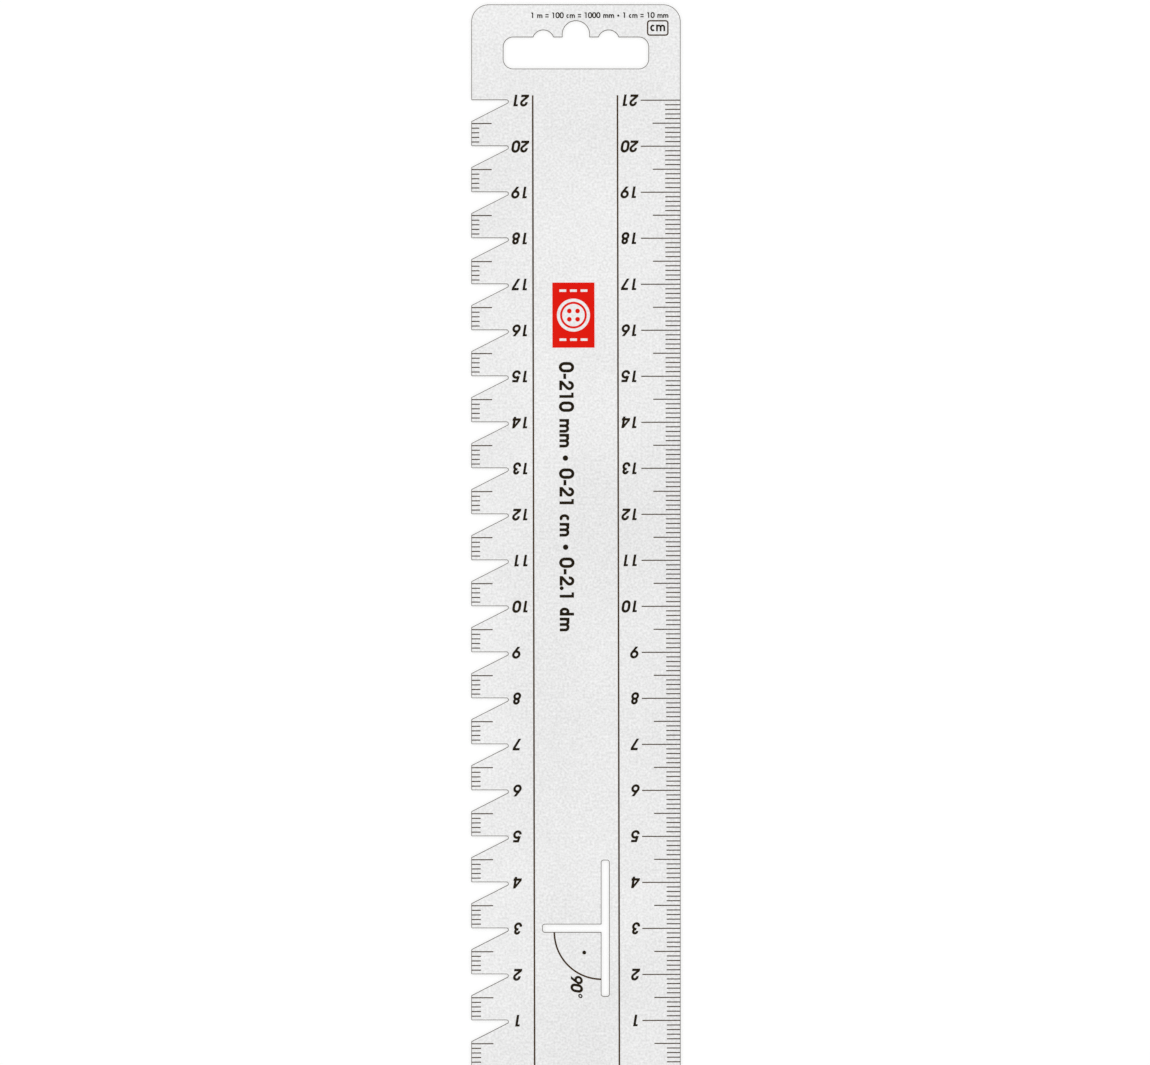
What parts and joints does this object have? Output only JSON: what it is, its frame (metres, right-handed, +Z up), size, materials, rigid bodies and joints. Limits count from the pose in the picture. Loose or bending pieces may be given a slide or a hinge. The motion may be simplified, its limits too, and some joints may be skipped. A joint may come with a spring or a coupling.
{
  "type": "sewing gauge",
  "caption": "Flat plastic hand gauge with a notched edge, a millimetre edge, a right-angle slot and a hang slot.",
  "frame": {"origin": "centre of the sheet's length and width, on its underside", "axes": "+Y along the sheet from the zero end to the head with the hang slot, +Z up out of the printed face, so the notched edge is at -X and the millimetre edge at +X"},
  "size_m": [0.0454, 0.2308, 0.001],
  "materials": {
    "sheet": "cool light grey sheet plastic, opaque, finely frosted, with bare die-cut edges",
    "black_ink": "screen-printed warm black ink film, slightly satin",
    "red_ink": "screen-printed signal red ink film, slightly satin"
  },
  "bodies": {
    "root": {"gauge_plate": "sheet", "left_guide_line": "black_ink", "right_guide_line": "black_ink", "edge_cm_lines": "black_ink", "edge_half_cm_lines": "black_ink", "edge_mm_lines": "black_ink", "edge_figures": "black_ink", "notch_half_cm_lines": "black_ink", "notch_mm_lines": "black_ink", "notch_figures": "black_ink", "right_angle_arc": "black_ink", "right_angle_dot": "black_ink", "right_angle_figures": "black_ink", "colour_panel": "red_ink", "measures_line": "black_ink", "head_measures_line": "black_ink", "unit_box": "black_ink", "unit_mark": "black_ink"}
  },
  "joints": []
}
